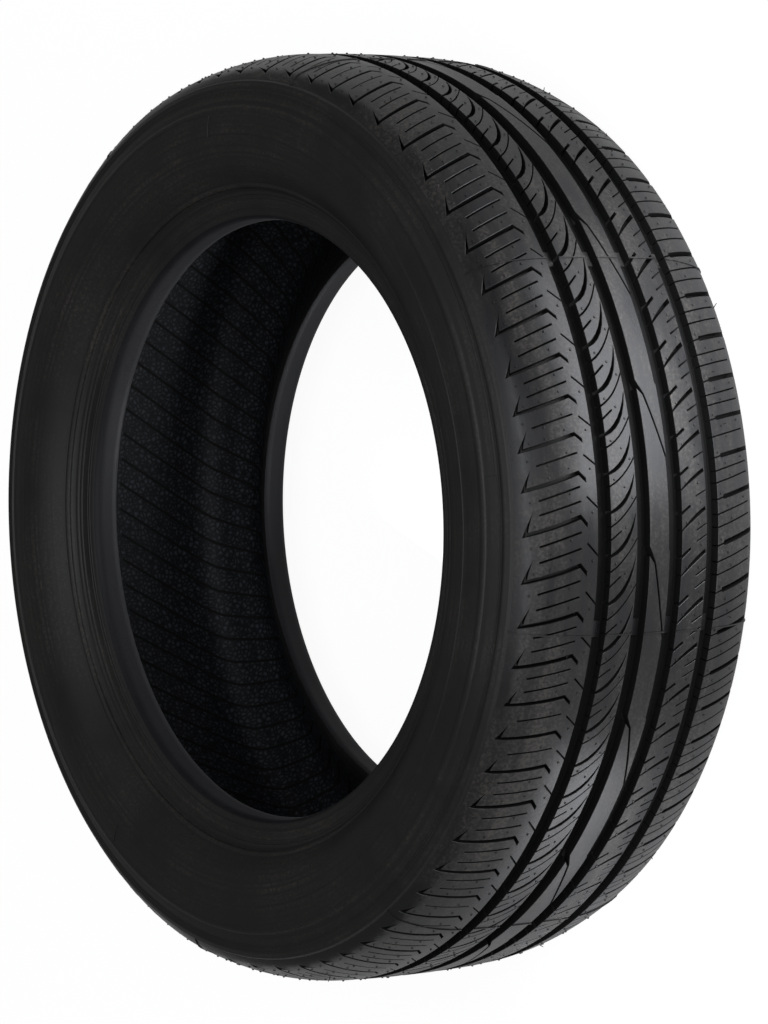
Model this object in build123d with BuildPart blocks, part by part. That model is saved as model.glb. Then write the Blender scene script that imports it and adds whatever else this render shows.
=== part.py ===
import os
from math import asin, cos, radians, sin, tan

from build123d import *

# Casing: a 225 mm wide section, 55 per cent tall, made for a 17 inch wheel rim
overall_diameter = 679.0
section_width = 233.0
bead_seat_diameter = 436.6
bead_spacing = 178.0

# Crown: a flat middle that rolls over to a shoulder edge on each side
crown_arc_radius = 1100.0
crown_flat_width = 100.0
shoulder_arc_radius = 120.0
tread_width = 200.0
shoulder_roll = 27.0

# Sidewall: a share is of the section's height, from the bead seat to the crown
buttress_height = 20.0
buttress_lean = 11.0
widest_share = 0.495
lower_wall_share = 0.3135
lower_wall_tuck = 5.7
flange_height = 20.0
flange_flare = 5.3

# Bead: the ring that grips the wheel rim
heel_face = 6.0
bead_width = 19.0
toe_face = 2.0
bore_stock = 1.5

# Rubber thickness
crown_thickness = 17.0
sidewall_thickness = 8.5
inner_corner = 14.0

# Grooves that run round the tread, from the outer shoulder to the inner one
first_groove = 42.5
second_groove = 9.0
third_groove = -19.8
fourth_groove = -53.6
groove_width = 11.2
groove_depth = 8.0
groove_wall_lean = 0.8

# Tread pattern: every slot is cut once in each pitch
pitch_count = 72
pitches_cut = 3
cut_clearance = 6.0
slot_land = 0.8

# Slots of the outer shoulder, each with a short hook at its inner end
outer_slot_inset = 1.0
outer_slot_knee = 62.0
outer_slot_hook = 56.5
outer_slot_rise = 12.3
outer_slot_shift = 6.7
outer_slot_drop = 5.3
outer_slot_width = 2.8
outer_slot_depth = 5.0

# Curved slots of the rib below the outer shoulder, fat in the middle
crescent_knee = 26.5
crescent_knee_rise = 10.0
crescent_rise = 27.0
crescent_shift = -13.2
crescent_width = 5.2
crescent_end_width = 2.0
crescent_depth = 5.5

# Slanted slots of the rib above the inner shoulder
slant_rise = 16.0
slant_shift = 5.6
slant_width = 3.0
slant_depth = 5.0

# Slots of the inner shoulder
inner_slot_overrun = 4.0
inner_slot_rise = 11.8
inner_slot_shift = -5.9
inner_slot_width = 3.4
inner_slot_depth = 5.0


def crown_slope(height):
    """Angle in radians by which the crown leans at a height above the middle."""
    flat = crown_flat_width / 2
    past_flat = max(abs(height) - flat, 0)
    lean = asin(min(abs(height), flat) / crown_arc_radius + past_flat / shoulder_arc_radius)
    return lean if height >= 0 else -lean


def crown_radius(height):
    """Radius of the crown surface at a height above the middle."""
    lean = abs(crown_slope(height))
    flat_lean = min(lean, crown_slope(crown_flat_width / 2))
    middle_drop = crown_arc_radius * (1 - cos(flat_lean))
    shoulder_drop = shoulder_arc_radius * (cos(flat_lean) - cos(lean))
    return overall_diameter / 2 - middle_drop - shoulder_drop


def floor_plane(height, depth):
    """Plane of a slot floor: its x runs round the tread, its y runs up across it."""
    lean = crown_slope(height)
    surface = Plane((crown_radius(height), 0, height), x_dir=(0, 1, 0), z_dir=(cos(lean), 0, sin(lean)))
    return surface.offset(-depth)


pitch_angle = 360 / pitch_count
half_pitch = overall_diameter / 2 * tan(radians(pitch_angle / 2))
half_tread = tread_width / 2
half_width = section_width / 2
shoulder_radius = crown_radius(half_tread)
seat_radius = bead_seat_diameter / 2
section_height = overall_diameter / 2 - seat_radius
widest_radius = seat_radius + section_height * widest_share
lower_wall_radius = seat_radius + section_height * lower_wall_share
heel_height = bead_spacing / 2
inner_radius = overall_diameter / 2 - crown_thickness
groove_heights = [first_groove, second_groove, third_groove, fourth_groove]
half_mouth = groove_width / 2
half_floor = half_mouth - groove_wall_lean
groove_cut = groove_depth + cut_clearance
half_cut = half_floor + groove_wall_lean * groove_cut / groove_depth

# Slot cutter of the outer shoulder
outer_slot_tip = half_tread - outer_slot_inset
outer_middle = (outer_slot_tip + outer_slot_knee) / 2
with BuildPart() as outer_slot:
    with BuildSketch(floor_plane(outer_middle, outer_slot_depth)):
        with BuildLine():
            stretch = 1 / cos(crown_slope(outer_middle))
            tip = (outer_slot_tip - outer_middle) * stretch
            knee = (outer_slot_knee - outer_middle) * stretch
            hook = (outer_slot_hook - outer_middle) * stretch
            low = outer_slot_shift - outer_slot_rise / 2
            high = outer_slot_shift + outer_slot_rise / 2
            Polyline(
                (low, tip),
                (high, knee),
                (high - outer_slot_drop, hook),
                (high - outer_slot_drop - outer_slot_width, hook),
                (high - outer_slot_width, knee),
                close=True,
            )
        make_face()
    extrude(amount=outer_slot_depth + cut_clearance)

# Cutter of the curved slots, from the first groove to the second
crescent_start = first_groove - half_floor / 2
crescent_end = second_groove + half_mouth + slot_land
crescent_middle = (crescent_start + crescent_end) / 2
with BuildPart() as crescent:
    with BuildSketch(floor_plane(crescent_middle, crescent_depth)):
        with BuildLine():
            Polyline(
                (crescent_shift, crescent_start - crescent_middle),
                (crescent_shift + crescent_knee_rise, crescent_knee - crescent_middle),
                (crescent_shift + crescent_rise, crescent_end - crescent_middle),
                (crescent_shift + crescent_knee_rise - crescent_width, crescent_knee - crescent_middle),
                (crescent_shift - crescent_end_width, crescent_start - crescent_middle),
                close=True,
            )
        make_face()
    extrude(amount=crescent_depth + cut_clearance)

# Cutter of the slanted slots, from the third groove to the fourth
slant_start = third_groove - half_floor / 2
slant_end = fourth_groove + half_mouth + slot_land
slant_middle = (slant_start + slant_end) / 2
with BuildPart() as slant:
    with BuildSketch(floor_plane(slant_middle, slant_depth)):
        with BuildLine():
            low = slant_shift - slant_rise / 2
            Polyline(
                (low, slant_start - slant_middle),
                (low + slant_rise, slant_end - slant_middle),
                (low - slant_width, slant_start - slant_middle),
                close=True,
            )
        make_face()
    extrude(amount=slant_depth + cut_clearance)

# Slot cutter of the inner shoulder, from the fourth groove out over the edge. It leans with
# the shoulder, so it starts far enough out that its floor stays off the groove wall too.
inner_slot_creep = inner_slot_depth * sin(crown_slope(half_tread))
inner_start = fourth_groove - half_mouth - slot_land - inner_slot_creep
inner_slot_tip = -half_tread - inner_slot_overrun
inner_middle = (inner_start + inner_slot_tip) / 2
with BuildPart() as inner_slot:
    with BuildSketch(floor_plane(inner_middle, inner_slot_depth)):
        with BuildLine():
            stretch = 1 / cos(crown_slope(inner_middle))
            start = (inner_start - inner_middle) * stretch
            tip = (inner_slot_tip - inner_middle) * stretch
            high = inner_slot_shift + inner_slot_rise / 2
            Polyline(
                (inner_slot_shift - inner_slot_rise / 2, start),
                (high, tip),
                (high - inner_slot_width, tip),
                close=True,
            )
        make_face()
    extrude(amount=inner_slot_depth + cut_clearance)

# One pitch of the tyre: the section runs straight across it, then the tread is cut
with BuildPart() as pitch:
    with BuildSketch(Plane.XZ):
        with BuildLine():
            Polyline(
                (shoulder_radius, half_tread),
                (shoulder_radius - buttress_height, half_tread + buttress_lean),
                (widest_radius, half_width),
                (lower_wall_radius, half_width - lower_wall_tuck),
                (seat_radius + flange_height, heel_height + flange_flare),
                (seat_radius + heel_face, heel_height),
                (seat_radius - bore_stock, heel_height),
                (seat_radius - bore_stock, heel_height - bead_width),
                (seat_radius + toe_face, heel_height - bead_width),
                (widest_radius, half_width - sidewall_thickness),
                (inner_radius, half_tread - inner_corner),
            )
            mirror(about=Plane.XZ)
            Line((inner_radius, half_tread - inner_corner), (inner_radius, inner_corner - half_tread))
            roll = half_tread - shoulder_roll
            crown_heights = sorted([half_tread, roll, *groove_heights, -roll, -half_tread])
            Polyline([(crown_radius(height), height) for height in crown_heights])
        make_face()
        for height in groove_heights:
            floor_radius = crown_radius(height) - groove_depth
            with BuildLine():
                Polyline(
                    (floor_radius, height - half_floor),
                    (floor_radius + groove_cut, height - half_cut),
                    (floor_radius + groove_cut, height + half_cut),
                    (floor_radius, height + half_floor),
                    close=True,
                )
            make_face(mode=Mode.SUBTRACT)
    extrude(amount=half_pitch + cut_clearance, both=True)
    reach = pitch_angle * (pitches_cut - 1)
    with PolarLocations(0, pitches_cut, start_angle=-reach / 2, angular_range=reach, endpoint=True):
        for cutter in (outer_slot, crescent, slant, inner_slot):
            add(cutter.part, mode=Mode.SUBTRACT)
    split(bisect_by=Plane.XZ.rotated((0, 0, pitch_angle / 2)), keep=Keep.TOP)
    split(bisect_by=Plane.XZ.rotated((0, 0, -pitch_angle / 2)), keep=Keep.BOTTOM)

# The whole tyre: the pitches close the ring, and the bead seats are bored round
with BuildPart() as tyre:
    with PolarLocations(0, pitch_count):
        add(pitch.part)
    Hole(radius=seat_radius)

tyre.part.label = "tyre"
os.makedirs("parts", exist_ok=True)
export_step(tyre.part, "parts/tyre.step")
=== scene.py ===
import math
import random

import bmesh
import bpy
from mathutils import Matrix, Vector


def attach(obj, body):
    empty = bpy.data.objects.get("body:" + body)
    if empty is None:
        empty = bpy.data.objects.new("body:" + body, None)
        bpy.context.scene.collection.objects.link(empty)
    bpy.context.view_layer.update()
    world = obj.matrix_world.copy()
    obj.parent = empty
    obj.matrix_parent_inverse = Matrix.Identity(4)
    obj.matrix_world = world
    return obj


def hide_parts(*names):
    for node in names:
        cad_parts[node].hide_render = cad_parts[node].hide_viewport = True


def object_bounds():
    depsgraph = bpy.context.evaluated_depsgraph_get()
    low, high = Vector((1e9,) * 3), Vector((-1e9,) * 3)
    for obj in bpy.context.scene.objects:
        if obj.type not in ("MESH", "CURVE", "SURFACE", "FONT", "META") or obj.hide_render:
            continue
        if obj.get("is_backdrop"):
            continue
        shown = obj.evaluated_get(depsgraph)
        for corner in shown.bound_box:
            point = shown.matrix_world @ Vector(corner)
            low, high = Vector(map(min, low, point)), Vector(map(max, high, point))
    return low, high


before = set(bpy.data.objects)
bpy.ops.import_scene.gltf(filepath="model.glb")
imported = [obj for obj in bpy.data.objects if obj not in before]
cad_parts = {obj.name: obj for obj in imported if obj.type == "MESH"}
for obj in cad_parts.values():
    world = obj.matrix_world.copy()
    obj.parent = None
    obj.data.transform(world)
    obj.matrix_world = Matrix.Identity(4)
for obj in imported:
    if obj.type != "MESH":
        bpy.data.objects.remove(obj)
cad_low, cad_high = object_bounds()

# Casing: the moulded body of the tyre, a rubber shell over cords and bead wires.
# Its section is a chain of arcs from the crown to the bead toe, turned about the axle,
# and it carries the groove floors, both sidewalls, both beads and the inner liner.
MM = 0.001
crown_radius = (cad_high.x - cad_low.x) / 2 / MM
outside_arcs = [  # turn in degrees and radius, or no turn and a length
    (2.605, 1100.0),  # crown
    (23.315, 120.0),  # rolled shoulder
    (35.08, 12.0),  # shoulder edge
    (0.0, 12.0),  # buttress
    (29.0, 67.2),  # upper sidewall
    (43.0, 42.0),  # lower sidewall
    (0.0, 15.0),  # straight tuck
    (-33.0, 14.0),  # hollow above the rim flange
    (0.0, 8.4),  # rim flange
    (76.5, 6.0),  # heel
    (0.0, 12.5),  # bead seat
    (126.5, 2.5),  # toe
]
crown_thickness = 17.0
inside_arcs = [
    (0.0, 71.15),  # inside of the crown
    (63.5, 24.0),  # corner of the crown
    (0.0, 20.5),  # inside of the shoulder
    (59.5, 22.0),  # turn into the sidewall
    (0.0, 56.6),  # inside of the sidewall
]
groove_middles = [42.5, 9.0, -19.8, -53.6]
groove_half_mouth = 5.6
groove_half_floor = 4.8
groove_depth = 8.0
slot_depth = 6.5
tread_reach = 109.4
shoulder_reaches = [60.0, 98.0, tread_reach]
shoulder_step, wall_step, liner_step = 5.0, 4.0, 6.0
casing_turns = 300
sharp_angle = math.radians(32)
wall_bands = [  # inner and outer radius, height and width of the edge
    (312.4, 316.4, 1.5, 2.0),  # scuff rib under the shoulder
    (308.6, 309.4, -0.6, 0.6),  # line below that rib
    (279.0, 307.6, -0.5, 0.7),  # sunk upper zone
    (295.4, 298.6, 0.6, 0.7),  # ring in that zone
    (241.6, 243.2, 1.0, 1.0),  # rim line
    (236.2, 237.2, 0.45, 0.6),  # fitting lines
    (233.2, 234.2, 0.45, 0.6),
    (227.0, 227.8, 0.35, 0.5),  # fine lines above the heel
    (224.8, 225.6, 0.35, 0.5),
]
liner_start, liner_end = 236.0, crown_radius - crown_thickness + 1.0
liner_reach = 88.0
seat_end = 223.0
inward_limit = -0.7
floor_start, floor_low, floor_high = 311.0, -100.0, 60.0


def section(start_radius, arcs):
    """Function that gives the radius, height and outward normal at a reach along a chain of arcs."""
    stations = []
    reach, radius, height, heading = 0.0, start_radius, 0.0, 0.0
    for turn, size in arcs:
        turn = math.radians(turn)
        stations.append((reach, radius, height, heading, turn, size))
        if turn:
            bend = math.copysign(size, turn)
            radius -= bend * (math.cos(heading) - math.cos(heading + turn))
            height += bend * (math.sin(heading + turn) - math.sin(heading))
            reach += size * abs(turn)
        else:
            radius -= size * math.sin(heading)
            height += size * math.cos(heading)
            reach += size
        heading += turn

    def at(reach):
        side = math.copysign(1.0, reach)
        start, radius, height, heading, turn, size = [s for s in stations if s[0] <= abs(reach)][-1]
        gone = abs(reach) - start
        if turn:
            bend = math.copysign(size, turn)
            angle = heading + gone / bend
            radius -= bend * (math.cos(heading) - math.cos(angle))
            height += bend * (math.sin(angle) - math.sin(heading))
        else:
            angle = heading
            radius -= gone * math.sin(heading)
            height += gone * math.cos(heading)
        return radius, side * height, math.cos(angle), side * math.sin(angle)

    at.ends = [s[0] for s in stations] + [reach]
    return at


def reach_at(wall, radius, near, far):
    """Reach along the wall at which it comes down to a radius."""
    for _ in range(40):
        middle = (near + far) / 2
        near, far = (middle, far) if wall(middle)[0] > radius else (near, middle)
    return near


def off_wall(wall, reach, lift):
    """Radius and height of a point lifted off the wall along its normal."""
    radius, height, out, up = wall(reach)
    return radius + lift * out, height + lift * up


def band_lift(radius):
    """Height of the moulded rings and steps on the sidewall at a radius."""
    lift = 0.0
    for inner, outer, height, edge in wall_bands:
        share = max(0.0, min(1.0, 1 + min(radius - inner, outer - radius) / edge))
        lift += height * share * share * (3 - 2 * share)
    return lift


def spread(ends, step):
    """Reaches from end to end of each stretch, no further apart than a step."""
    found = [ends[0]]
    for start, end in zip(ends, ends[1:]):
        count = max(1, math.ceil((end - start) / step))
        found += [start + (end - start) * (i + 1) / count for i in range(count)]
    return found


outside = section(crown_radius, outside_arcs)
inside = section(crown_radius - crown_thickness, inside_arcs)
wall_end = outside.ends[-3]
wall_reaches = spread([tread_reach] + [e for e in outside.ends if e > tread_reach + 1], wall_step)
for inner, outer, _, edge in wall_bands:
    for share in (0.0, 0.3, 0.7, 1.0):
        for radius in (inner - edge * share, outer + edge * share):
            wall_reaches.append(reach_at(outside, radius, tread_reach, wall_end))
wall_line = [off_wall(outside, s, band_lift(outside(s)[0])) for s in sorted(wall_reaches)]
liner_line = [off_wall(inside, s, 0.0) for s in reversed(spread(inside.ends, liner_step)[1:-1])]
floor_line = []
for middle in reversed(groove_middles):
    floor_line.append(off_wall(outside, middle - groove_half_mouth, -slot_depth))
    floor_line.append(off_wall(outside, middle - groove_half_floor, -groove_depth))
    floor_line.append(off_wall(outside, middle + groove_half_floor, -groove_depth))
    floor_line.append(off_wall(outside, middle + groove_half_mouth, -slot_depth))
shoulder_line = [off_wall(outside, s, -slot_depth) for s in spread(shoulder_reaches, shoulder_step)]
upper = shoulder_line + wall_line + liner_line
lower = [(radius, -height) for radius, height in upper]
outline = lower[::-1] + floor_line + upper

bm = bmesh.new()
ring = [bm.verts.new((radius * MM, 0, height * MM)) for radius, height in outline]
edges = [bm.edges.new((a, b)) for a, b in zip(ring, ring[1:] + ring[:1])]
bmesh.ops.spin(
    bm, geom=ring + edges, cent=(0, 0, 0), axis=(0, 0, 1), angle=math.tau, steps=casing_turns, use_merge=True
)
bmesh.ops.recalc_face_normals(bm, faces=bm.faces)
for face in bm.faces:
    middle = face.calc_center_median() / MM
    radius = math.hypot(middle.x, middle.y)
    inward = (face.normal.x * middle.x + face.normal.y * middle.y) / radius < inward_limit
    faces_in = face.normal.z * middle.z < 0 or (inward and abs(middle.z) < liner_reach)
    if liner_start < radius < liner_end and faces_in:
        face.material_index = 1
    # The bead seat takes the darker bead rubber, painted shade.
    elif inward and radius < seat_end:
        face.material_index = 3
    # Groove floors take the darker groove rubber, painted shade in the grooves.
    elif radius > floor_start and floor_low < middle.z < floor_high:
        face.material_index = 2
mesh = bpy.data.meshes.new("casing")
bm.to_mesh(mesh)
bm.free()
mesh.shade_smooth()
mesh.set_sharp_from_angle(angle=sharp_angle)
casing = bpy.data.objects.new("casing", mesh)
bpy.context.scene.collection.objects.link(casing)


def rubber_material(name, colour, dust, dust_share, roughness, grain, rings=0.0, streaked=1.0):
    """Moulded rubber with dust in patches and rings, uneven sheen and a fine grain."""
    material = bpy.data.materials.new(name)
    material.use_nodes = True
    nodes, links = material.node_tree.nodes, material.node_tree.links
    shader = nodes["Principled BSDF"]
    place = nodes.new("ShaderNodeTexCoord")
    drawn = nodes.new("ShaderNodeMapping")
    drawn.inputs["Scale"].default_value = (1, 1, streaked)
    links.new(place.outputs["Object"], drawn.inputs["Vector"])
    patches = nodes.new("ShaderNodeTexNoise")
    patches.inputs["Scale"].default_value = 9.0
    patches.inputs["Detail"].default_value = 8.0
    patches.inputs["Roughness"].default_value = 0.65
    links.new(drawn.outputs["Vector"], patches.inputs["Vector"])
    share = nodes.new("ShaderNodeMapRange")
    share.inputs["From Min"].default_value = 0.42
    share.inputs["From Max"].default_value = 0.72
    share.inputs["To Max"].default_value = dust_share
    links.new(patches.outputs["Fac"], share.inputs["Value"])
    speckle = nodes.new("ShaderNodeTexNoise")
    speckle.inputs["Scale"].default_value = 480.0
    speckle.inputs["Detail"].default_value = 4.0
    links.new(place.outputs["Object"], speckle.inputs["Vector"])
    contrast = nodes.new("ShaderNodeMapRange")
    contrast.inputs["From Min"].default_value = 0.45
    contrast.inputs["From Max"].default_value = 0.65
    contrast.inputs["To Min"].default_value = 0.45
    contrast.inputs["To Max"].default_value = 2.3
    links.new(speckle.outputs["Fac"], contrast.inputs["Value"])
    mottled = nodes.new("ShaderNodeMath")
    mottled.operation = "MULTIPLY"
    links.new(share.outputs["Result"], mottled.inputs[0])
    links.new(contrast.outputs["Result"], mottled.inputs[1])
    flat = nodes.new("ShaderNodeVectorMath")
    flat.operation = "MULTIPLY"
    flat.inputs[1].default_value = (1, 1, 0)
    links.new(place.outputs["Object"], flat.inputs[0])
    radius = nodes.new("ShaderNodeVectorMath")
    radius.operation = "LENGTH"
    links.new(flat.outputs["Vector"], radius.inputs[0])
    streaks = nodes.new("ShaderNodeTexNoise")
    streaks.noise_dimensions = "1D"
    streaks.inputs["Scale"].default_value = 300.0
    links.new(radius.outputs["Value"], streaks.inputs["W"])
    ringed = nodes.new("ShaderNodeMapRange")
    ringed.inputs["From Min"].default_value = 0.3
    ringed.inputs["From Max"].default_value = 0.7
    ringed.inputs["To Min"].default_value = 1 - rings
    ringed.inputs["To Max"].default_value = 1 + rings
    links.new(streaks.outputs["Fac"], ringed.inputs["Value"])
    dusted = nodes.new("ShaderNodeMath")
    dusted.name = "dusted"
    dusted.operation = "MULTIPLY"
    links.new(mottled.outputs["Value"], dusted.inputs[0])
    links.new(ringed.outputs["Result"], dusted.inputs[1])
    mix = nodes.new("ShaderNodeMix")
    mix.name = "dust"
    mix.data_type = "RGBA"
    mix.inputs["A"].default_value = (*colour, 1)
    mix.inputs["B"].default_value = (*dust, 1)
    links.new(dusted.outputs["Value"], mix.inputs["Factor"])
    links.new(mix.outputs["Result"], shader.inputs["Base Color"])
    sheen = nodes.new("ShaderNodeMapRange")
    sheen.inputs["From Min"].default_value = 0.3
    sheen.inputs["From Max"].default_value = 0.7
    sheen.inputs["To Min"].default_value = roughness - 0.08
    sheen.inputs["To Max"].default_value = roughness + 0.12
    links.new(patches.outputs["Fac"], sheen.inputs["Value"])
    links.new(sheen.outputs["Result"], shader.inputs["Roughness"])
    fine = nodes.new("ShaderNodeTexNoise")
    fine.inputs["Scale"].default_value = 1400.0
    fine.inputs["Detail"].default_value = 3.0
    links.new(place.outputs["Object"], fine.inputs["Vector"])
    bump = nodes.new("ShaderNodeBump")
    bump.inputs["Strength"].default_value = grain
    bump.inputs["Distance"].default_value = 0.0003
    links.new(fine.outputs["Fac"], bump.inputs["Height"])
    links.new(bump.outputs["Normal"], shader.inputs["Normal"])
    return material


rubber = rubber_material(
    "sidewall_rubber",
    colour=(0.0127, 0.0123, 0.0118),
    dust=(0.046, 0.041, 0.035),
    dust_share=0.4,
    roughness=0.5,
    grain=0.3,
    rings=0.9,
)
# Liner rubber: the crests of the pebbles are painted lighter and bluish as a painted highlight, and the gaps
# between them near black as painted shade; the bump gives the pebbles their relief.
liner = bpy.data.materials.new("liner_rubber")
liner.use_nodes = True
nodes, links = liner.node_tree.nodes, liner.node_tree.links
shader = nodes["Principled BSDF"]
shader.inputs["Roughness"].default_value = 0.6
shader.inputs["Specular IOR Level"].default_value = 0.3
place = nodes.new("ShaderNodeTexCoord")
pebbles = nodes.new("ShaderNodeTexVoronoi")
pebbles.feature = "DISTANCE_TO_EDGE"
pebbles.inputs["Scale"].default_value = 270.0
links.new(place.outputs["Object"], pebbles.inputs["Vector"])
crest_light_share = nodes.new("ShaderNodeMapRange")
crest_light_share.inputs["From Min"].default_value = 0.05
crest_light_share.inputs["From Max"].default_value = 0.45
links.new(pebbles.outputs["Distance"], crest_light_share.inputs["Value"])
painted_pebble_light = nodes.new("ShaderNodeMix")
painted_pebble_light.data_type = "RGBA"
painted_pebble_light.inputs["A"].default_value = (0.003, 0.0035, 0.0045, 1)
painted_pebble_light.inputs["B"].default_value = (0.045, 0.052, 0.062, 1)
links.new(crest_light_share.outputs["Result"], painted_pebble_light.inputs["Factor"])
links.new(painted_pebble_light.outputs["Result"], shader.inputs["Base Color"])
bump = nodes.new("ShaderNodeBump")
bump.inputs["Strength"].default_value = 0.5
bump.inputs["Distance"].default_value = 0.0008
links.new(pebbles.outputs["Distance"], bump.inputs["Height"])
links.new(bump.outputs["Normal"], shader.inputs["Normal"])
# Groove rubber: the tread's rubber painted darker and duller, as painted shade on the walls and floors of
# grooves, slots and sipes, on the casing's groove floors and on the liner ribs.
groove_shade = rubber_material(
    "groove_painted_shade",
    colour=(0.007, 0.007, 0.007),
    dust=(0.012, 0.011, 0.01),
    dust_share=0.4,
    roughness=0.75,
    grain=0.2,
)
groove_shade.node_tree.nodes["Principled BSDF"].inputs["Specular IOR Level"].default_value = 0.2
# Bead rubber: the sidewall's rubber painted darker and a little blue on the bead seat and toe, as painted
# shade there.
bead_shade = rubber_material(
    "bead_painted_shade",
    colour=(0.008, 0.008, 0.01),
    dust=(0.02, 0.02, 0.023),
    dust_share=0.4,
    roughness=0.55,
    grain=0.2,
)
bead_shade.node_tree.nodes["Principled BSDF"].inputs["Specular IOR Level"].default_value = 0.3
for material in (rubber, liner, groove_shade, bead_shade):
    mesh.materials.append(material)
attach(casing, "root")
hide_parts("tyre")

# Outer shoulder: the tread blocks on the side that faces out of the car, moulded in
# one with the casing. Each pitch has a hooked slot that ends in a fin on the buttress,
# two fine sipes, or one in a short pitch, and a short sipe out of the first groove.
pitch_count = 72
pitch = math.tau * crown_radius / pitch_count
pitch_cuts = 4
pitch_sizes = {"s": 0.89, "m": 1.0, "l": 1.11, "x": 1.2}  # short, medium, long, extra long
pitch_plan = "mssm" + "mssmllmssmmllmssmllxxxxx" + "lssmllss" + 3 * "mssmllmssm" + "mssmll"
plan_length, plan_turn = 12.8, math.radians(3.92)
plan_steps = [math.tau / pitch_count * pitch_sizes[size] for size in pitch_plan]
plan_marks = [sum(plan_steps[:i]) for i in range(pitch_count)]
plan_round = math.tau / sum(plan_steps)
short_below = 0.93
uncut = 1000.0  # step of a cut that isn't wanted
sipe_width = 1.15
bed = 0.3
eased = 0.25


def turn_at(along, planned=True, behind=0):
    """Angle about the axle for a length along the flat tread, its pitches as long as planned."""
    if not planned:
        return along / crown_radius
    count = (along - plan_length) / pitch + behind
    whole = math.floor(count)
    rounds, place = divmod(whole, pitch_count)
    mark = plan_marks[place] + (count - whole) * plan_steps[place]
    return plan_turn + rounds * math.tau + plan_round * mark - behind * pitch / crown_radius


def pitch_kinds(start, behind=0):
    """Long or short for each pitch of a rib, by how far it is stretched."""
    kinds = []
    for i in range(pitch_count):
        near = turn_at(start + i * pitch, behind=behind)
        far = turn_at(start + (i + 1) * pitch, behind=behind)
        kinds.append("short" if (far - near) * crown_radius < short_below * pitch else "long")
    return kinds


def slit(points, widths, steps=6):
    """Loop round a slot whose middle line is a quadratic curve by three points, with a width at each."""
    first, second = [], []
    start, pull, end = [Vector(p) for p in points]
    for i in range(steps + 1):
        t = i / steps
        blend = ((1 - t) ** 2, 2 * t * (1 - t), t**2)
        middle = start * blend[0] + pull * blend[1] + end * blend[2]
        run = (pull - start) * (1 - t) + (end - pull) * t
        half = sum(w * b for w, b in zip(widths, blend)) / 2
        side = Vector((-run.y, run.x)).normalized() * half
        first.append(middle + side)
        second.append(middle - side)
    return first + second[::-1]


def sipe(start, end):
    """Loop round a straight sipe."""
    start, end = Vector(start), Vector(end)
    return slit((start, (start + end) / 2, end), 3 * [sipe_width], 1)


def flat_plate(loops, top, bottom):
    """Plate in the flat, x along the tread and y across it: an outline with slots cut through."""
    curve = bpy.data.curves.new("outline", "CURVE")
    curve.dimensions = "2D"
    curve.fill_mode = "BOTH"
    curve.extrude = (top - bottom) / 2
    for loop in loops:
        spline = curve.splines.new("POLY")
        spline.points.add(len(loop) - 1)
        for point, (along, across) in zip(spline.points, loop):
            point.co = (along, across, 0, 1)
        spline.use_cyclic_u = True
    holder = bpy.data.objects.new("outline", curve)
    mesh = bpy.data.meshes.new_from_object(holder)
    bm = bmesh.new()
    bm.from_mesh(mesh)
    bpy.data.objects.remove(holder)
    bpy.data.curves.remove(curve)
    bpy.data.meshes.remove(mesh)
    bmesh.ops.remove_doubles(bm, verts=bm.verts, dist=0.0005)
    bmesh.ops.translate(bm, verts=bm.verts, vec=(0, 0, (top + bottom) / 2))
    return bm


def open_ends(bm, border, length):
    """Takes off the end walls of a flat plate, so that it joins the next one along."""
    slack = 0.01

    def on_border(vert):
        for (x0, y0), (x1, y1) in zip(border, border[1:]):
            if min(y0, y1) - slack <= vert.co.y <= max(y0, y1) + slack:
                x = x0 + (x1 - x0) * (vert.co.y - y0) / (y1 - y0)
                if min(abs(vert.co.x - x), abs(vert.co.x - x - length)) < slack:
                    return True
        return False

    walls = [f for f in bm.faces if abs(f.normal.z) < 0.5 and all(on_border(v) for v in f.verts)]
    bmesh.ops.delete(bm, geom=walls, context="FACES_ONLY")


def ease_edges(bm):
    """Rounds off the top edges of a flat plate a little, along its outline and its slots."""
    bmesh.ops.dissolve_limit(bm, angle_limit=0.01, verts=bm.verts, edges=bm.edges)
    rims = []
    for edge in bm.edges:
        tops = [f for f in edge.link_faces if f.normal.z > 0.9]
        walls = [f for f in edge.link_faces if abs(f.normal.z) < 0.5]
        if tops and walls:
            rims.append(edge)
    bmesh.ops.bevel(
        bm, geom=rims, offset=eased, affect="EDGES", segments=1, profile=0.5, material=-1, clamp_overlap=True
    )


def slice_plate(bm, along_step, across_step):
    """Cuts a flat plate into strips, so that it can bend both ways."""
    for axis, step in ((0, along_step), (1, across_step)):
        values = [v.co[axis] for v in bm.verts]
        across = Vector((1, 0, 0)) if axis == 0 else Vector((0, 1, 0))
        for i in range(math.ceil(min(values) / step), math.floor(max(values) / step) + 1):
            parts = bm.verts[:] + bm.edges[:] + bm.faces[:]
            cut = across * (i * step)
            bmesh.ops.bisect_plane(bm, geom=parts, dist=0.0005, plane_co=cut, plane_no=across)


def repeat_plates(plates, order, length):
    """One flat strip of plates laid end to end in the given order."""
    strip = bmesh.new()
    for i, kind in enumerate(order):
        mesh = bpy.data.meshes.new("plate")
        plates[kind].to_mesh(mesh)
        old = len(strip.verts)
        strip.from_mesh(mesh)
        bpy.data.meshes.remove(mesh)
        strip.verts.ensure_lookup_table()
        bmesh.ops.translate(strip, verts=strip.verts[old:], vec=(i * length, 0, 0))
    for plate in plates.values():
        plate.free()
    return strip


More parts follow.
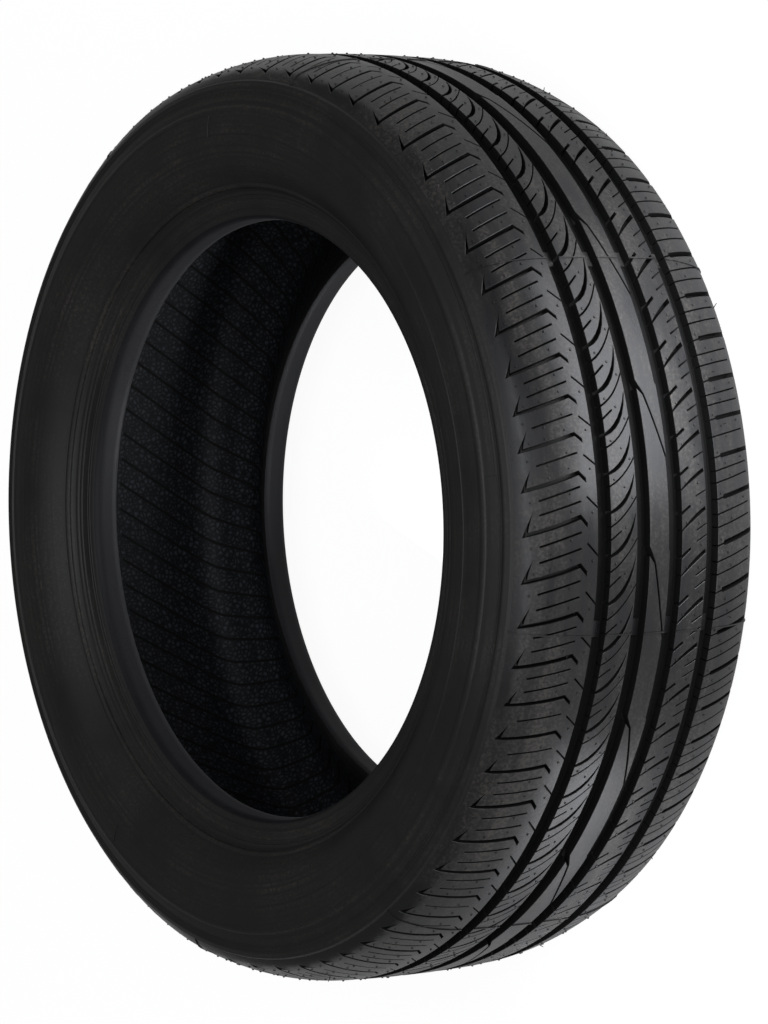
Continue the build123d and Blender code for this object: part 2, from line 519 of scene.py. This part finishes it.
def wrap(bm, wall, name, materials, planned=True, behind=0):
    """Bends a flat strip round the tyre on to a wall and makes it a piece of the tyre."""
    # Walls of grooves, slots and sipes take the second material, painted darker as shade.
    for face in bm.faces:
        if len(materials) > 1 and abs(face.normal.z) < 0.5:
            face.material_index = 1
    for vert in bm.verts:
        along, across, lift = vert.co
        radius, height = off_wall(wall, across, lift)
        angle = turn_at(along, planned, behind)
        vert.co = Vector((radius * math.cos(angle), radius * math.sin(angle), height)) * MM
    bmesh.ops.remove_doubles(bm, verts=bm.verts, dist=0.000002)
    bmesh.ops.recalc_face_normals(bm, faces=bm.faces)
    mesh = bpy.data.meshes.new(name)
    bm.to_mesh(mesh)
    bm.free()
    mesh.shade_smooth()
    mesh.set_sharp_from_angle(angle=sharp_angle)
    for material in materials:
        mesh.materials.append(material)
    piece = bpy.data.objects.new(name, mesh)
    bpy.context.scene.collection.objects.link(piece)
    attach(piece, "root")
    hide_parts("tyre")


tread = rubber_material(
    "tread_rubber",
    colour=(0.015, 0.015, 0.016),
    dust=(0.07, 0.064, 0.057),
    dust_share=0.6,
    roughness=0.31,
    grain=0.3,
    streaked=5.0,
)
# Round the outer shoulder, some 82 mm off the middle, the dust share is doubled in a band; the band is dust
# and also a painted highlight along the shoulder.
dust_and_highlight_middle, dust_and_highlight_half = 82.0, 17.0
nodes, links = tread.node_tree.nodes, tread.node_tree.links
place = nodes.new("ShaderNodeTexCoord")
split = nodes.new("ShaderNodeSeparateXYZ")
links.new(place.outputs["Object"], split.inputs["Vector"])
dust_and_highlight_band = nodes.new("ShaderNodeMapRange")
dust_and_highlight_band.interpolation_type = "SMOOTHSTEP"
dust_and_highlight_band.inputs["From Min"].default_value = dust_and_highlight_half * MM
dust_and_highlight_band.inputs["From Max"].default_value = 0.0
dust_and_highlight_band.inputs["To Min"].default_value = 1.0
dust_and_highlight_band.inputs["To Max"].default_value = 2.0
off_middle = nodes.new("ShaderNodeMath")
off_middle.operation = "SUBTRACT"
off_middle.inputs[1].default_value = dust_and_highlight_middle * MM
links.new(split.outputs["Z"], off_middle.inputs[0])
apart = nodes.new("ShaderNodeMath")
apart.operation = "ABSOLUTE"
links.new(off_middle.outputs["Value"], apart.inputs[0])
links.new(apart.outputs["Value"], dust_and_highlight_band.inputs["Value"])
dust_and_highlight_banded = nodes.new("ShaderNodeMath")
dust_and_highlight_banded.operation = "MULTIPLY"
links.new(nodes["dusted"].outputs["Value"], dust_and_highlight_banded.inputs[0])
links.new(dust_and_highlight_band.outputs["Result"], dust_and_highlight_banded.inputs[1])
links.new(dust_and_highlight_banded.outputs["Value"], nodes["dust"].inputs["Factor"])
first_edge = groove_middles[0] + groove_half_mouth
shoulder_end = tread_reach + 1.0
fin_end, slot_tip, tip_inner = (13.5, 97.3), (-0.8, 104.2), (2.2, 100.4)
knee, hook = (12.8, 62.0), (7.5, 56.5)
hook_width = 2.9
border = [(0.0, first_edge), (1.0, 56.5), (5.2, 61.8), (-3.0, 93.0), (-4.5, shoulder_end)]
lower_side = slit((slot_tip, (3.5, 82.0), (knee[0] - hook_width, knee[1])), (0, 0, 0), 4)[:5]
upper_side = slit((tip_inner, (6.6, 82.0), knee), (0, 0, 0), 4)[:5]
hooked_slot = [fin_end, (5.5, 101.3)] + lower_side
hooked_slot += [(hook[0] - hook_width, hook[1]), hook] + upper_side[::-1] + [(7.0, 99.4)]
notch = [(17.8, first_edge), (25.2, 56.5), (24.3, 57.1), (16.4, first_edge)]
plates = {}
for kind in ("long", "short"):
    border_right = [(x + pitch, y) for x, y in border]
    outline = border[:1] + notch[::-1] + border_right + border[:0:-1]
    sipes = [((13.1, 92.2), (21.7, 61.6)), ((23.0, 92.2), (31.6, 61.6))]
    if kind == "short":
        sipes = [((18.0, 92.2), (26.6, 61.6))]
    plates[kind] = flat_plate([outline, hooked_slot] + [sipe(*s) for s in sipes], 0.0, -slot_depth - bed)
    open_ends(plates[kind], border, pitch)
    ease_edges(plates[kind])
    slice_plate(plates[kind], pitch / pitch_cuts, shoulder_step)
wrap(repeat_plates(plates, pitch_kinds(knee[0]), pitch), outside, "outer_shoulder", [tread, groove_shade])

# Second rib: a row of blocks between the first and second grooves, parted by fine sipes.
# Each block has a crescent that opens into the first groove and ends just short of the
# second; in a long pitch it also has a short sipe. Its pitches run one behind the shoulder's.
rib_top = groove_middles[0] - groove_half_mouth
rib_bottom = groove_middles[1] + groove_half_mouth
sipe_gap = 0.62
sipe_middle = slit(((-26.0, rib_top), (-20.5, 24.9), (-4.3, rib_bottom)), (0, 0, 0), 6)[:7]
left = [(x + sipe_gap, y) for x, y in sipe_middle]
right = [(x + pitch - sipe_gap, y) for x, y in sipe_middle]
crescent_tip = rib_bottom + 1.1
crescent = slit(((-15.1, rib_top), (-7.9, 22.2), (12.7, crescent_tip)), (0, 0, 0), 6)[:7]
crescent += slit(((-17.3, rib_top), (-12.3, 20.2), (11.2, crescent_tip)), (0, 0, 0), 6)[6::-1]
stub = [(-4.6, rib_top), (1.2, 28.4), (0.3, 27.9), (-6.0, rib_top)]
plates = {}
for kind, notches in (("long", stub + crescent), ("short", crescent)):
    plates[kind] = flat_plate([left + right[::-1] + notches], 0.0, -slot_depth - bed)
    ease_edges(plates[kind])
    slice_plate(plates[kind], pitch / pitch_cuts, uncut)
strip = repeat_plates(plates, pitch_kinds(crescent[0].x, 1), pitch)
wrap(strip, outside, "second_rib", [tread, groove_shade], behind=1)

# Centre rib: an unbroken band, notched from the second groove once in four pitches,
# with a long fine sipe out of each notch and small steps along the other edge.
rib_top = groove_middles[1] - groove_half_mouth
rib_bottom = groove_middles[2] + groove_half_mouth
rib_length = 4 * pitch
left = [(21.5, rib_top), (11.3, -2.1), (-37.6, rib_bottom)]
right = [(-39.0 + rib_length, rib_bottom + 0.9), (10.7 + rib_length, -0.8), (15.5 + rib_length, rib_top)]
edge_step = [(18.0, rib_bottom), (19.0, rib_bottom + 0.9)]
plates = {"rib": flat_plate([left + edge_step + right], 0.0, -slot_depth - bed)}
ease_edges(plates["rib"])
slice_plate(plates["rib"], pitch / pitch_cuts, uncut)
wrap(repeat_plates(plates, ["rib"] * (pitch_count // 4), rib_length), outside, "centre_rib", [tread, groove_shade])

# Fourth rib: a band with a bent slot in each pitch that leaves the third groove thin and
# ends fat, a short bold notch beside it, and fine sipes out of the fourth groove. Its
# pitches run one behind the shoulder's.
rib_top = groove_middles[2] - groove_half_mouth
rib_bottom = groove_middles[3] + groove_half_mouth
border = [(8.5, rib_bottom), (5.0, -38.8), (-3.5, -31.0), (-8.0, rib_top)]
bold_notch = [(12.1, rib_top), (17.1, -32.8), (15.4, -33.6), (9.7, rib_top)]
bent_slot = slit(((-0.4, rib_top), (8.7, -34.5), (15.6, -46.6)), (0, 0, 0), 5)[:6]
bent_slot += slit(((-1.6, rib_top), (5.8, -35.2), (12.9, -47.3)), (0, 0, 0), 5)[5::-1]
plates = {}
for kind, feet in (("long", (25.5, 33.3)), ("short", (28.3,))):
    sipes = []
    for x in feet:
        sipes += [(x - 0.5, rib_bottom), (x - 5.1, -38.9), (x - 4.2, -38.5), (x + 0.5, rib_bottom)]
    border_right = [(x + pitch, y) for x, y in border]
    outline = border[:1] + sipes + border_right + bold_notch + bent_slot + border[:0:-1]
    plates[kind] = flat_plate([outline], 0.0, -slot_depth - bed)
    open_ends(plates[kind], border, pitch)
    ease_edges(plates[kind])
    slice_plate(plates[kind], pitch / pitch_cuts, uncut)
strip = repeat_plates(plates, pitch_kinds(bold_notch[1][0], 1), pitch)
wrap(strip, outside, "fourth_rib", [tread, groove_shade], behind=1)

# Inner shoulder: the tread blocks on the side that faces the car, with a slot in each
# pitch that runs out over the shoulder edge and fine sipes out of the fourth groove.
last_edge = groove_middles[3] - groove_half_mouth
border = [(-3.0, -shoulder_end), (-6.2, -97.0), (-16.0, last_edge)]
slot = [(-9.7, last_edge), (-8.2, -64.8), (-6.8, -65.5), (1.6, -105.4)]
slot += [(-1.7, -106.4), (-9.9, -66.3), (-9.2, -65.2), (-10.7, last_edge)]
plates = {}
for kind, heads in (("long", (9.4, 1.3)), ("short", (6.0,))):
    sipes = []
    for x in heads:
        sipes += [(x + 0.5, last_edge), (x + 9.0, -96.9), (x + 8.1, -97.1), (x - 0.5, last_edge)]
    border_right = [(x + pitch, y) for x, y in border]
    outline = border[:1] + border_right + sipes + slot + border[:0:-1]
    plates[kind] = flat_plate([outline], 0.0, -slot_depth - bed)
    open_ends(plates[kind], border, pitch)
    ease_edges(plates[kind])
    slice_plate(plates[kind], pitch / pitch_cuts, shoulder_step)
wrap(repeat_plates(plates, pitch_kinds(0.0), pitch), outside, "inner_shoulder", [tread, groove_shade])

# Mould marks: the tread mould closes in eight segments. Each joint leaves a thin line of
# flash across the tread, and the wear bars stand in the grooves beside it.
mould_segments = 8
first_joint = math.radians(73.8) * crown_radius
segment = math.tau * crown_radius / mould_segments
joints = [first_joint + i * segment for i in range(mould_segments)]
flash_half, flash_height, flash_reach, flash_inset = 0.45, 0.7, 114.0, 0.2
bar_half, bar_height, bar_offset, bar_bite = 6.0, 1.6, 3.0, 0.2


def block(along, across, half_length, half_width):
    """Loop round an upright rectangle in the flat."""
    corners = ((-1, -1), (1, -1), (1, 1), (-1, 1))
    return [(along + x * half_length, across + y * half_width) for x, y in corners]


edges = [-flash_reach, flash_reach]
for middle in groove_middles:
    edges += [middle - groove_half_mouth, middle + groove_half_mouth]
edges.sort()
loops = []
for joint in joints:
    for low, high in zip(edges[::2], edges[1::2]):
        loops.append(block(joint, (low + high) / 2, flash_half, (high - low) / 2 - flash_inset))
flash = flat_plate(loops, flash_height, -bed)
slice_plate(flash, uncut, shoulder_step)
wrap(flash, outside, "mould_flash", [tread], False)
bar_reach = groove_half_floor + bar_bite
loops = [block(x + bar_offset, m, bar_half, bar_reach) for x in joints for m in groove_middles]
wear_bars = flat_plate(loops, bar_height - groove_depth, -groove_depth - bed)
ease_edges(wear_bars)
wrap(wear_bars, outside, "wear_bars", [tread], False)

# Vent nubs: the mould's vent holes leave small stubs on the blocks of every pitch, and
# here and there a whisker of rubber that didn't break off.
nub_radius, nub_height = 0.95, 0.9
shoulder_nubs = [(8.8, 84.0), (18.0, 84.0), (15.0, 69.0), (27.0, 69.5), (6.2, 95.4), (22.0, 98.0)]
shoulder_nubs += [(14.0, 52.5), (-6.0, -62.5), (-8.6, -90.0), (7.0, -74.0), (15.2, -70.0)]
rib_nubs = [(-21.1, 32.8), (-5.5, 18.3), (2.7, 24.5), (4.6, -29.5), (4.0, -41.0), (18.7, -43.0)]
whisker_count = 34
whisker_lengths, whisker_rows = (1.5, 4.5), (62, 100)
whisker_root, whisker_tip, whisker_lean = 0.4, 0.22, 0.7

for name, places, behind in (("shoulder_nubs", shoulder_nubs, 0), ("rib_nubs", rib_nubs, 1)):
    nubs = bmesh.new()
    for along, across in places:
        spot = Matrix.Translation((along, across, 0))
        dome = spot @ Matrix.Diagonal((nub_radius, nub_radius, nub_height, 1))
        bmesh.ops.create_uvsphere(nubs, u_segments=8, v_segments=4, radius=1, matrix=dome)
    strip = repeat_plates({"nubs": nubs}, ["nubs"] * pitch_count, pitch)
    wrap(strip, outside, name, [tread], behind=behind)
chance = random.Random(4)
whiskers = bmesh.new()
for _ in range(whisker_count):
    length = chance.uniform(*whisker_lengths)
    along = chance.uniform(0, math.tau * crown_radius)
    across = chance.choice([-1, 1]) * chance.uniform(*whisker_rows)
    lean = Matrix.Rotation(chance.uniform(-whisker_lean, whisker_lean), 4, "X")
    lean = lean @ Matrix.Rotation(chance.uniform(-whisker_lean, whisker_lean), 4, "Y")
    spot = Matrix.Translation((along, across, 0)) @ lean @ Matrix.Translation((0, 0, length / 2 - bed))
    bmesh.ops.create_cone(
        whiskers,
        cap_ends=True,
        segments=6,
        radius1=whisker_root,
        radius2=whisker_tip,
        depth=length,
        matrix=spot,
    )
wrap(whiskers, outside, "whiskers", [tread], False)

# Sidewall panels: the raised fields of the mould plates, bare here, and a ring of small
# vent stubs above the rim line.
zone_depth = 0.5
panel_height, panel_root, panel_step = 0.45, 1.5, 10.0
panel_spans = [  # first and last degree, inner and outer radius
    (58, 93, 299.9, 308.6),
    (180, 203, 274.6, 294.0),
    (300, 323, 274.6, 294.0),
]
stub_ring, stub_count = 245.6, 17
stub_half, stub_height = 0.9, 0.4


def disc(along, across, radius, sides=8):
    """Loop round a small disc in the flat."""
    turns = [math.tau * i / sides for i in range(sides)]
    return [(along + radius * math.cos(t), across + radius * math.sin(t)) for t in turns]


panels = []
for start, end, inner, outer in panel_spans:
    low, high = (reach_at(outside, r, tread_reach, wall_end) for r in (outer, inner))
    middle, half = math.radians(start + end) / 2, math.radians(end - start) / 2
    panels.append(block(middle * crown_radius, (low + high) / 2, half * crown_radius, (high - low) / 2))
plates = flat_plate(panels, panel_height - zone_depth, -panel_root)
ease_edges(plates)
slice_plate(plates, panel_step, wall_step)
wrap(plates, outside, "sidewall_panels", [rubber], False)
stub_reach = reach_at(outside, stub_ring, tread_reach, wall_end)
stub_step = math.tau * crown_radius / stub_count
stubs = [disc(i * stub_step, side * stub_reach, stub_half) for i in range(stub_count) for side in (-1, 1)]
wrap(flat_plate(stubs, stub_height, -bed), outside, "sidewall_vents", [rubber], False)

# Liner ribs: the curing bladder presses rows of fine slanting ribs into the liner, from
# the middle of the crown down to each bead.
rib_count = 100
rib_half, rib_height = 1.25, 0.5
rib_head, rib_bend, rib_foot = 2.0, 88.0, 172.0
rib_cut = 8.0
crown_slant, wall_slant = 0.6, 0.36
rib_step = math.tau * crown_radius / rib_count
strips = []
for side in (-1, 1):
    start = 0.0 if side < 0 else rib_step / 2
    bend = start - side * crown_slant * rib_bend
    foot = bend - side * wall_slant * (rib_foot - rib_bend)
    line = [(start, side * rib_head), (bend, side * rib_bend), (foot, side * rib_foot)]
    strips.append([(x - rib_half, y) for x, y in line] + [(x + rib_half, y) for x, y in line[::-1]])
ribs = flat_plate(strips, bed, -rib_height)
slice_plate(ribs, uncut, rib_cut)
# The ribs take the darker groove rubber, painted shade that makes them read as dark lines.
wrap(repeat_plates({"ribs": ribs}, ["ribs"] * rib_count, rib_step), inside, "liner_ribs", [groove_shade], False)

# Camera: stands off the tyre's tread and looks down across the sidewall, with the
# picture turned so that the tyre, which lies on its side, reads as standing.
aim = Vector((-2.1, 0.0, -24.6)) * MM
stand = Vector((-2.1, 2585.3, 1893.2)) * MM
roll = math.radians(2.18)
swing = math.radians(-1.4)
lens = bpy.data.cameras.new("camera")
lens.lens = 152.4
lens.sensor_width = 36.0
lens.clip_end = 20.0
camera = bpy.data.objects.new("camera", lens)
bpy.context.scene.collection.objects.link(camera)
back = (stand - aim).normalized()
right = Vector((-1, 0, 0)).cross(back).normalized()
right = Matrix.Rotation(-roll, 3, back) @ right
up = back.cross(right)
pose = Matrix.Translation(stand) @ Matrix((right, up, back)).transposed().to_4x4()
camera.matrix_world = Matrix.Rotation(swing, 4, "Z") @ pose
bpy.context.scene.camera = camera

# Floor and light: a white floor that fills the picture and keeps a faint, soft shadow.
# Two large softboxes stand on the tread's side and one hangs overhead, two small ones are
# close to the tread and one is in the hole, under a dim, even sky.
floor_shadow = 0.35
floor_mirror = 0.34
bm = bmesh.new()
bmesh.ops.create_grid(bm, x_segments=1, y_segments=1, size=6.0)
bmesh.ops.translate(bm, verts=bm.verts, vec=(0, 0, cad_low.z))
mesh = bpy.data.meshes.new("floor")
bm.to_mesh(mesh)
bm.free()
floor = bpy.data.objects.new("floor", mesh)
bpy.context.scene.collection.objects.link(floor)
floor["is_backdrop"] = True
white = bpy.data.materials.new("floor_white")
white.use_nodes = True
nodes, links = white.node_tree.nodes, white.node_tree.links
matt = nodes["Principled BSDF"]
matt.inputs["Base Color"].default_value = (0.6, 0.6, 0.6, 1)
matt.inputs["Roughness"].default_value = 0.9
glow = nodes.new("ShaderNodeEmission")
glow.inputs["Color"].default_value = (1, 1, 1, 1)
glow.inputs["Strength"].default_value = 1.44
rays = nodes.new("ShaderNodeLightPath")
seen = nodes.new("ShaderNodeMath")
seen.operation = "MULTIPLY"
seen.inputs[1].default_value = 1 - floor_shadow
mirrored = nodes.new("ShaderNodeMath")
mirrored.operation = "MULTIPLY"
mirrored.inputs[1].default_value = floor_mirror
links.new(rays.outputs["Is Glossy Ray"], mirrored.inputs[0])
straight = nodes.new("ShaderNodeMath")
straight.operation = "MAXIMUM"
links.new(rays.outputs["Is Camera Ray"], straight.inputs[0])
links.new(rays.outputs["Is Transmission Ray"], straight.inputs[1])
either = nodes.new("ShaderNodeMath")
either.operation = "MAXIMUM"
links.new(straight.outputs["Value"], either.inputs[0])
links.new(mirrored.outputs["Value"], either.inputs[1])
links.new(either.outputs["Value"], seen.inputs[0])
blend = nodes.new("ShaderNodeMixShader")
links.new(seen.outputs["Value"], blend.inputs["Fac"])
links.new(matt.outputs["BSDF"], blend.inputs[1])
links.new(glow.outputs["Emission"], blend.inputs[2])
links.new(blend.outputs["Shader"], nodes["Material Output"].inputs["Surface"])
mesh.materials.append(white)
world = bpy.data.worlds.new("studio")
bpy.context.scene.world = world
world.use_nodes = True
world.node_tree.nodes["Background"].inputs["Color"].default_value = (1, 1, 1, 1)
world.node_tree.nodes["Background"].inputs["Strength"].default_value = 0.11


def softbox(name, place, width, height, watts, spread=180):
    """Area light turned to the tyre."""
    light = bpy.data.lights.new(name, "AREA")
    light.shape = "RECTANGLE"
    light.size = width
    light.size_y = height
    light.energy = watts
    light.spread = math.radians(spread)
    light.color = (0.93, 0.95, 1.0)
    holder = bpy.data.objects.new(name, light)
    bpy.context.scene.collection.objects.link(holder)
    holder.location = place
    holder.visible_camera = False
    holder.rotation_euler = Vector(place).to_track_quat("Z", "Y").to_euler()


softbox("low_softbox", (0.3, 2.4, 1.1), 3.0, 1.6, 17.0)
softbox("wide_softbox", (-0.2, 2.2, 2.5), 2.6, 2.2, 22.0)
softbox("over_softbox", (-0.2, 0.5, 2.9), 2.2, 1.2, 6.0)
softbox("hole_softbox", (0.06, -0.03, -0.11), 0.2, 0.012, 0.4)
softbox("strip_softbox", (-0.14, 0.43, -0.05), 0.3, 0.12, 0.3, 100)
softbox("short_softbox", (0.375, 0.25, -0.07), 0.26, 0.08, 0.15, 100)
bpy.context.scene.view_settings.view_transform = "Standard"

low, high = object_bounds()
